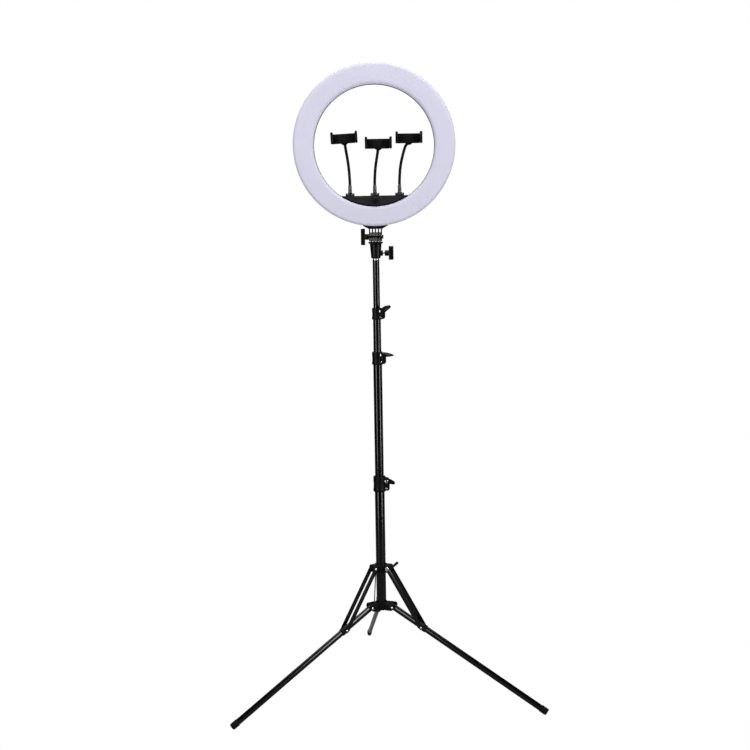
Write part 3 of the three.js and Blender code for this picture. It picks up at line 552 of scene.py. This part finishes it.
def stand_socket():
    low, _ = node_z("stand_socket")
    shell = turned(rounded([(6.3, low + 34), (6.3, low), (12.4, low), (13.4, low + 3), (16.4, 1302),
                            (21.3, 1306.5), (21.3, 1308), (0, 1308)], 0.7), 96)
    fingers = [moved(finger(x, SPACE - 2 * GAP, -15.5), Matrix.Translation(TILT)) for x in finger_places(4)]
    boss = moved(turned(rounded([(8, 8), (8, 20), (2.9, 20), (2.9, 14)], 0.6), 64),
                 Matrix.Translation((0, 0, 1277)) @ ALONG_X)
    piece(merged("socket", shell, boss, *fingers), "socket", "socket", SATIN, "black_plastic", "stand_socket")


def tilt_bolt():
    shank = rounded([(0, -STACK - 7), (3, -STACK - 7), (3, STACK + 1), (0, STACK + 1)], 0.3)
    shaft = moved(turned(shank, 32), ALONG_X)
    hexagon = turned([(0, STACK + GAP), (5.5, STACK + GAP), (5.5, STACK + 4), (0, STACK + 4)], 6)
    head = moved(bevelled(hexagon, 0.5, 3), ALONG_X)
    piece(moved(merged("bolt", shaft, head), Matrix.Translation(TILT)), "hinge_bolt", "socket", STEEL,
          "bright_steel", "tilt_bolt")


def t_knob(stem, half, thick):
    """A T-shaped thumb knob that points along +X from its inner face."""
    bar = arc(0, half - 6, 6, 0, 180, 16) + arc(0, 6 - half, 6, 180, 360, 16)
    grip = moved(slab(bar, -stem - thick, -stem, 2.2, 5), Matrix.Rotation(math.radians(90), 4, "Z"))
    ribs = lambda a: 1 - 0.05 * (0.5 + 0.5 * math.cos(12 * a))
    profile = rounded([(0, 0), (8.4, 0), (8.4, stem - 1.5), (7.4, stem + 1), (0, stem + 1)], 0.6)
    hub = moved(turned(profile, 96, ribs), ALONG_X)
    return grip, hub


def knobs():
    grip, hub = t_knob(10.5, 23, 12)
    left = moved(merged("knob", grip, hub), Matrix.Translation((-STACK - GAP, 0, TILT.z))
                 @ Matrix.Rotation(math.pi, 4, "Z"))
    piece(left, "tilt_handle", "tilt_clamp", SATIN, "black_plastic", "tilt_knob")
    grip, hub = t_knob(11, 19.5, 13.5)
    place = Matrix.Translation(joint_place("socket_clamp_turn"))
    piece(moved(merged("knob", grip, hub), place), "socket_handle", "socket_clamp", SATIN, "black_plastic",
          "socket_knob")
    screw = moved(turned(threaded(-18.2, 0, 2.6, 0.8), 32), place @ ALONG_X)
    piece(screw, "socket_screw", "socket_clamp", STEEL, "bright_steel")


def threaded(start, end, radius, pitch):
    """A profile with grooves that read as a screw thread."""
    out, h = [(0, start), (radius * 0.8, start)], start
    while h + pitch <= end:
        out += [(radius, h + pitch * 0.35), (radius * 0.84, h + pitch * 0.85)]
        h += pitch
    return out + [(radius, end), (0, end)]


# ---- Mast ----
BASE_TUBE, TUBE_2, TUBE_3, TUBE_4 = 14.0, 12.5, 11.0, 9.5
LOCKS = {
    "lower": dict(z=595, height=43.6, on=BASE_TUBE, inner=TUBE_2, sleeve=17.8, reach=29, bolt_x=19.5,
                  bolt=29.9, lever=25.5, tip=3, start=14, angle=-15, turn=0, head=5, body="stand_base"),
    "middle": dict(z=962, height=36, on=TUBE_2, inner=TUBE_3, sleeve=15.6, reach=24.4, bolt_x=18,
                   bolt=28.4, lever=30.5, tip=2.4, start=12, angle=3, turn=-35, head=4.4, body="mast_2"),
    "upper": dict(z=1090, height=32.5, on=TUBE_3, inner=TUBE_4, sleeve=13.6, reach=23.8, bolt_x=17.5,
                  bolt=25, lever=27, tip=4.6, start=12, angle=30, turn=-35, head=4.4, body="mast_3"),
}


def mast_tube(node, name, radius, body):
    low, high = node_z(node)
    wall = [(radius, low + 5), (radius, high), (radius - 1.2, high), (radius - 1.2, low), (radius, low),
            (radius, low + 5)]
    piece(turned(rounded(wall, 0.35, 3), 96), name, body, GLOSS, "gloss_black_paint", node)


def lock(name, k):
    place = at(0, 0, k["z"], k["turn"])
    h, r, inner, outer = k["height"], k["sleeve"], k["inner"] + GAP, k["on"] + GAP
    sleeve = turned(rounded([(outer, 4), (outer, 0), (r, 0), (r + 0.6, 4), (r + 0.1, 8.5), (r - 0.5, 9.4),
                             (r - 0.6, h * 0.6), (r - 0.1, h * 0.66), (r, h - 2.4), (r - 0.8, h), (inner, h),
                             (inner, h - 6), (outer, h - 6), (outer, 4)], 0.45), 96)
    wide = k["reach"] - k["bolt_x"]
    outline = [(r - 3, 2), (k["reach"] - 4, 2), (k["reach"], 7)]
    outline += arc(k["bolt_x"], k["bolt"], wide, 0, 90, 14) + [(r - 3, k["bolt"] + wide)]
    ears = [slab(outline, 0.9, 8, 0.7, 3), slab(outline, -8, -0.9, 0.7, 3)]
    piece(moved(merged("lock", sleeve, *ears), place), f"{name}_lock", k["body"], PLASTIC, "black_plastic",
          f"{name}_lock_body")
    end = rounded([(0, 7.6), (3, 7.6), (3, 8.9), (2.2, 9.4), (0, 9.4)], 0.4)
    screw = merged("screw", *[moved(turned(end, 40), way) for way in (ALONG_Y, ALONG_Y.inverted())])
    piece(moved(screw, place @ Matrix.Translation((k["bolt_x"], 0, 8.5))), f"{name}_lock_screw", k["body"],
          STEEL, "bright_steel")
    hub = place @ Matrix.Translation((k["bolt_x"], 0, k["bolt"]))
    dome = [(2.5, 10.9), (k["head"], 10.9), (k["head"] * 0.96, 11.9), (k["head"] * 0.7, 12.7), (0, 12.95)]
    ends = [moved(turned(dome, 48), ALONG_Y), moved(turned(dome, 48), ALONG_Y.inverted())]
    shank = moved(turned([(0, -11), (2.5, -11), (2.5, 11), (0, 11)], 32), ALONG_Y)
    piece(moved(merged("bolt", shank, *ends), hub), f"{name}_bolt", k["body"], STEEL, "bright_steel",
          f"{name}_lock_bolt")
    lever(name, k, hub)


def lever(name, k, hub):
    """A cupped flip lever: two cheeks and a grip between them."""
    long, start, tip = k["lever"], k["start"], k["tip"]
    grip_side = [(start, -5)] + arc(long - tip, tip - 4, tip, -90, 90, 10) + [(start, 5)]
    side = arc(0, 0, 6.4, 90, 270, 20) + grip_side
    cheeks = [slab(side, 8.4, 10.6, 0.7, 3), slab(side, -10.6, -8.4, 0.7, 3)]
    grip = slab(grip_side, -9.4, 9.4, 0.6, 3)
    obj = merged("lever", grip, *cheeks)
    turn = Matrix.Rotation(math.radians(-k["angle"]), 4, "Y")
    piece(moved(obj, hub @ turn), f"{name}_lever", f"{name}_lever", SATIN, "black_plastic",
          f"{name}_lock_lever")


def spigot():
    low, high = node_z("spigot")
    shape = rounded([(0, low), (7.9, low), (7.9, 1257.8), (8.6, 1257.8), (8.6, 1262), (6, 1262.4), (6, 1266),
                     (5.2, 1266.6), (5.2, 1269), (6, 1269.6), (6, high - 1), (5, high), (0, high)], 0.35)
    piece(turned(shape, 64), "stud", "mast_4", STEEL, "bright_steel", "spigot")


# ---- Tripod ----
def about(azimuth):
    return Matrix.Rotation(math.radians(azimuth - 90), 4, "Z")


def leg_hub():
    base = Matrix.Translation((0, 0, HUB_FOOT))
    bore = BASE_TUBE + GAP
    sleeve = turned(rounded([(bore, 8), (bore, 24), (17.5, 24), (17.5, 0), (0, 0), (0, 2), (bore, 2),
                             (bore, 8)], 0.8), 96)
    outline = rounded([(16, 0.2), (36, 0.2), (43, 5), (46, 14), (46, 20), (43, 23.8), (15.5, 23.8),
                       (15.5, 10), (16, 0.2)], 1.6, 4)
    cheeks = []
    for azimuth in LEGS.values():
        for low in (-CHEEK_IN - CHEEK, CHEEK_IN):
            cheeks.append(moved(slab(outline, low, low + CHEEK, 0.8, 3), about(azimuth)))
        cheeks.append(moved(box((16, -CHEEK_IN - 1, 1), (24, CHEEK_IN + 1, 22.6), 0.8, 3), about(azimuth)))
    piece(moved(merged("hub", sleeve, *cheeks), base), "hub", "stand_base", PLASTIC, "black_plastic",
          "leg_hub")


COLLAR_KNOB = joint_place("collar_clamp_turn")
KNOB_AZIMUTH = math.degrees(math.atan2(COLLAR_KNOB.x, -COLLAR_KNOB.y))


def slide_collar():
    base = Matrix.Translation((0, 0, COLLAR_FOOT))
    bore = BASE_TUBE + GAP
    sleeve = turned(rounded([(bore, 12), (bore, 24), (17.2, 24), (18, 23), (18, 1), (17.2, 0), (bore, 0),
                             (bore, 12)], 0.6), 96)
    outline = rounded([(15.5, 0.4), (25, 0.4), (32, 6), (34, 17), (34, 21), (31, 23.8), (15.5, 23.8),
                       (15.5, 0.4)], 1.6, 4)
    ears = [moved(slab(outline, -10.4, 10.4, 0.9, 3), about(a)) for a in LEGS.values()]
    boss = moved(turned(rounded([(6, 16), (7, 16), (7, 21), (2.6, 21), (2.6, 18)], 0.6), 64),
                 about(KNOB_AZIMUTH) @ Matrix.Translation((0, 0, COLLAR_KNOB.z - COLLAR_FOOT)) @ ALONG_X)
    piece(moved(merged("collar", sleeve, boss, *ears), base), "collar", "collar", PLASTIC, "black_plastic",
          "slide_collar")


def collar_knob():
    place = Matrix.Translation((0, 0, COLLAR_KNOB.z)) @ about(KNOB_AZIMUTH)
    hub = moved(turned(rounded([(0, 21.4), (6.5, 21.4), (6.5, 36.5), (5, 38), (0, 38)], 0.7), 64), ALONG_X)
    bend = math.radians(-33)
    grip = moved(turned(rounded([(0, 0), (3.4, 0), (3.7, 11), (4.2, 20), (3.6, 24), (0, 24)], 1.2), 48),
                 Matrix.Translation((36, 0, -2)) @ Matrix.Rotation(bend, 4, "Y") @ ALONG_X)
    piece(moved(merged("knob", hub, grip), place), "collar_handle", "collar_clamp", SATIN, "black_plastic",
          "collar_knob")
    screw = moved(turned(threaded(BASE_TUBE + 1, 21.5, 2.5, 0.8), 32), place @ ALONG_X)
    piece(screw, "collar_screw", "collar_clamp", STEEL, "bright_steel")


def rivet_head(radius, tall):
    return [(0, 0), (radius, 0), (radius * 0.94, tall * 0.45), (radius * 0.6, tall * 0.9), (0, tall)]


def leg_oval(profile, grow):
    """A profile of (half height, place along the leg) with the legs' oval section, grown all round."""
    flat = (LEG_WIDE + grow) / (LEG_TALL + grow)
    return moved(turned(rounded(profile, 0.8), 96), Matrix.Scale(flat, 4, (0, 1, 0)) @ ALONG_X)


def leg(side, azimuth):
    place = about(azimuth) @ at(LEG_R, 0, LEG_Z, 0, math.degrees(LEG_DROP))
    body = f"leg_{side}"
    r = LEG_TALL
    wall = [(0, -6), (r, -6), (r, 514), (r - 1.2, 514), (r - 1.2, 30), (0, 30)]
    piece(moved(leg_oval(wall, 0), place), f"tube_leg_{side}", body, GLOSS, "gloss_black_paint",
          f"leg_{side}")
    face = CHEEK_IN + CHEEK + GAP
    pin = [moved(turned([(0, -face), (3, -face), (3, face), (0, face)], 32), ALONG_Y)]
    for way in (ALONG_Y, ALONG_Y.inverted()):
        pin.append(moved(turned([(r, face + h) for r, h in rivet_head(4.2, 1.6)], 40), way))
    piece(moved(merged("pin", *pin), place), f"hub_rivet_{side}", body, STEEL, "bright_steel")
    band = moved(turned(rounded([(0, 91), (10.65, 91), (10.65, 115), (0, 115)], 0.5), 96), ALONG_X)
    carved(band, leg_oval([(0, 80), (LEG_TALL + GAP, 80), (LEG_TALL + GAP, 126), (0, 126)], GAP))
    piece(moved(band, place), f"band_{side}", body, PLASTIC, "black_plastic", f"leg_bracket_{side}")
    foot(side, place, body)


def foot(side, place, body):
    r = LEG_TALL
    profile = [(r + GAP, 510), (r + GAP, 507), (r + 1.3, 507), (r + 1.3, 511), (r + 0.8, 511.6),
               (r + 0.8, 513), (r + 1.2, 513.6), (r + 1.1, 520), (r + 0.6, 528), (0, 528), (0, 514.3),
               (r + GAP, 514.3), (r + GAP, 510)]
    cap = moved(leg_oval(profile, 1.3), place)
    below = box((-900, -900, -60), (900, 900, 0), 0)
    piece(carved(cap, below), f"rubber_foot_{side}", body, RUBBER, "rubber", f"foot_{side}")


def strut(side, azimuth):
    run = LEG_R + STRUT_ON_LEG * math.cos(LEG_DROP) - COLLAR_R
    fall = COLLAR_Z - LEG_Z + STRUT_ON_LEG * math.sin(LEG_DROP)
    long = math.hypot(run, fall)
    place = about(azimuth) @ at(COLLAR_R, 0, COLLAR_Z, 0, math.degrees(math.atan2(fall, run)))
    outline = arc(0, 0, 6.5, 90, 270, 16) + arc(long, 0, 6.5, -90, 90, 16)
    bars = [slab(outline, low, low + 2, 0.45, 3) for low in (-13, 11)]
    pin = moved(turned([(0, -13), (3, -13), (3, 13), (0, 13)], 32), ALONG_Y)
    body = f"strut_{side}"
    piece(moved(merged("strut", *bars), place), f"bars_{side}", body, GLOSS, "gloss_black_paint",
          f"strut_{side}")
    rivets = [pin]
    for x in (0, long):
        for way in (ALONG_Y, ALONG_Y.inverted()):
            head = turned([(r, 12.9 + h) for r, h in rivet_head(4.2, 1.7)], 40)
            rivets.append(moved(head, Matrix.Translation((x, 0, 0)) @ way))
    if side == "right":
        head = moved(turned(rounded([(0, 12.8), (6.4, 12.8), (6.4, 15.4), (5.6, 16.4), (0, 16.4)], 0.5), 64),
                     ALONG_Y.inverted())
        rivets.append(carved(head, box((-7, -17.4, -0.8), (7, -15.2, 0.8), 0)))
    piece(moved(merged("rivets", *rivets), place), f"rivets_{side}", body, STEEL, "bright_steel")


# ---- Build ----
front_diffuser()
rear_housing()
control_panel()
dimmer_knob()
for side, holder in HOLDERS.items():
    shoe_and_ferrule(side, holder)
    gooseneck(side, holder)
    neck_ball(side, holder)
    clamp_body(side, holder)
    clamp_jaw(side, holder)
ring_bracket()
stand_socket()
tilt_bolt()
knobs()
mast_tube("base_tube", "mast_base", BASE_TUBE, "stand_base")
mast_tube("tube_2", "mast_second", TUBE_2, "mast_2")
mast_tube("tube_3", "mast_third", TUBE_3, "mast_3")
mast_tube("tube_4", "mast_top", TUBE_4, "mast_4")
for name, k in LOCKS.items():
    lock(name, k)
spigot()
leg_hub()
slide_collar()
collar_knob()
for side, azimuth in LEGS.items():
    leg(side, azimuth)
    strut(side, azimuth)

for node, finish in (("led_board", BOARD), ("driver_board", BOARD), ("panel_cover", PLASTIC),
                     ("power_inlet", SATIN)):
    kept = frame["nodes"][node]
    kept.data.materials.clear()
    kept.data.materials.append(finish)
    bevel = kept.modifiers.new("bevel", "BEVEL")
    bevel.width = 0.0004
    bevel.segments = 2
    bevel.limit_method = "ANGLE"


# ---- Camera, floor and light ----
def camera():
    data = bpy.data.cameras.new("camera")
    data.lens = 70.56
    data.sensor_width = 36
    data.clip_end = 100
    obj = bpy.data.objects.new("camera", data)
    bpy.context.scene.collection.objects.link(obj)
    pitch, roll = math.radians(8.40), math.radians(-0.95)
    ahead = Vector((0, math.cos(pitch), -math.sin(pitch)))
    right = Vector((1, 0, 0))
    up = right.cross(ahead)
    right_rolled = right * math.cos(roll) + up * math.sin(roll)
    up_rolled = up * math.cos(roll) - right * math.sin(roll)
    turn = Matrix((right_rolled, up_rolled, -ahead)).transposed()
    obj.matrix_world = Matrix.Translation(MAST * MM + Vector((-0.008, -4.126, 1.541))) @ turn.to_4x4()
    bpy.context.scene.camera = obj


def area_light(name, place, aim, size, radiance):
    data = bpy.data.lights.new(name, "AREA")
    data.shape = "RECTANGLE"
    data.size, data.size_y = size
    data.energy = radiance * math.pi * size[0] * size[1]
    obj = bpy.data.objects.new(name, data)
    bpy.context.scene.collection.objects.link(obj)
    obj.location = place
    obj.rotation_euler = (Vector(aim) - Vector(place)).to_track_quat("-Z", "Y").to_euler()


FILL = 0.04  # strength of the white surroundings in the light that they cast


def white_floor():
    """A pale floor that is plain white where it is looked at."""
    pale = look("pale floor", ((0.22, 0.22, 0.22), (0.24, 0.24, 0.24)), (0.8, 0.9), blotch=2, specular=0.1)
    nodes, links = pale.node_tree.nodes, pale.node_tree.links
    white = nodes.new("ShaderNodeEmission")
    path = nodes.new("ShaderNodeLightPath")
    mix = nodes.new("ShaderNodeMixShader")
    links.new(path.outputs["Is Camera Ray"], mix.inputs["Fac"])
    links.new(nodes["Principled BSDF"].outputs["BSDF"], mix.inputs[1])
    links.new(white.outputs["Emission"], mix.inputs[2])
    links.new(mix.outputs["Shader"], nodes["Material Output"].inputs["Surface"])
    bpy.ops.mesh.primitive_plane_add(size=60, location=(0, 0, 0))
    floor = bpy.context.object
    floor.name = "floor"
    floor.data.materials.append(pale)


def white_surroundings():
    world = bpy.data.worlds.new("studio")
    bpy.context.scene.world = world
    world.use_nodes = True
    nodes, links = world.node_tree.nodes, world.node_tree.links
    nodes["Background"].inputs["Color"].default_value = (1, 1, 1, 1)
    path = nodes.new("ShaderNodeLightPath")
    strength = nodes.new("ShaderNodeMapRange")
    strength.inputs["To Min"].default_value = FILL
    strength.inputs["To Max"].default_value = 1.0
    links.new(path.outputs["Is Camera Ray"], strength.inputs["Value"])
    links.new(strength.outputs["Result"], nodes["Background"].inputs["Strength"])


def studio():
    white_floor()
    white_surroundings()
    area_light("left soft box", (-2.15, -2.5, 1.5), (0, 0, 1.0), (0.55, 2.8), 12)
    area_light("right soft box", (2.55, -2.1, 1.5), (0, 0, 1.0), (0.55, 2.8), 15)
    area_light("top soft box", (0, -0.6, 3.6), (0, 0, 1.0), (2.0, 1.4), 5)
    area_light("back soft box", (0, 1.8, 3.6), (0, 1.5, 0), (2.0, 1.4), 11)
    bpy.context.scene.view_settings.view_transform = "Standard"


camera()
studio()
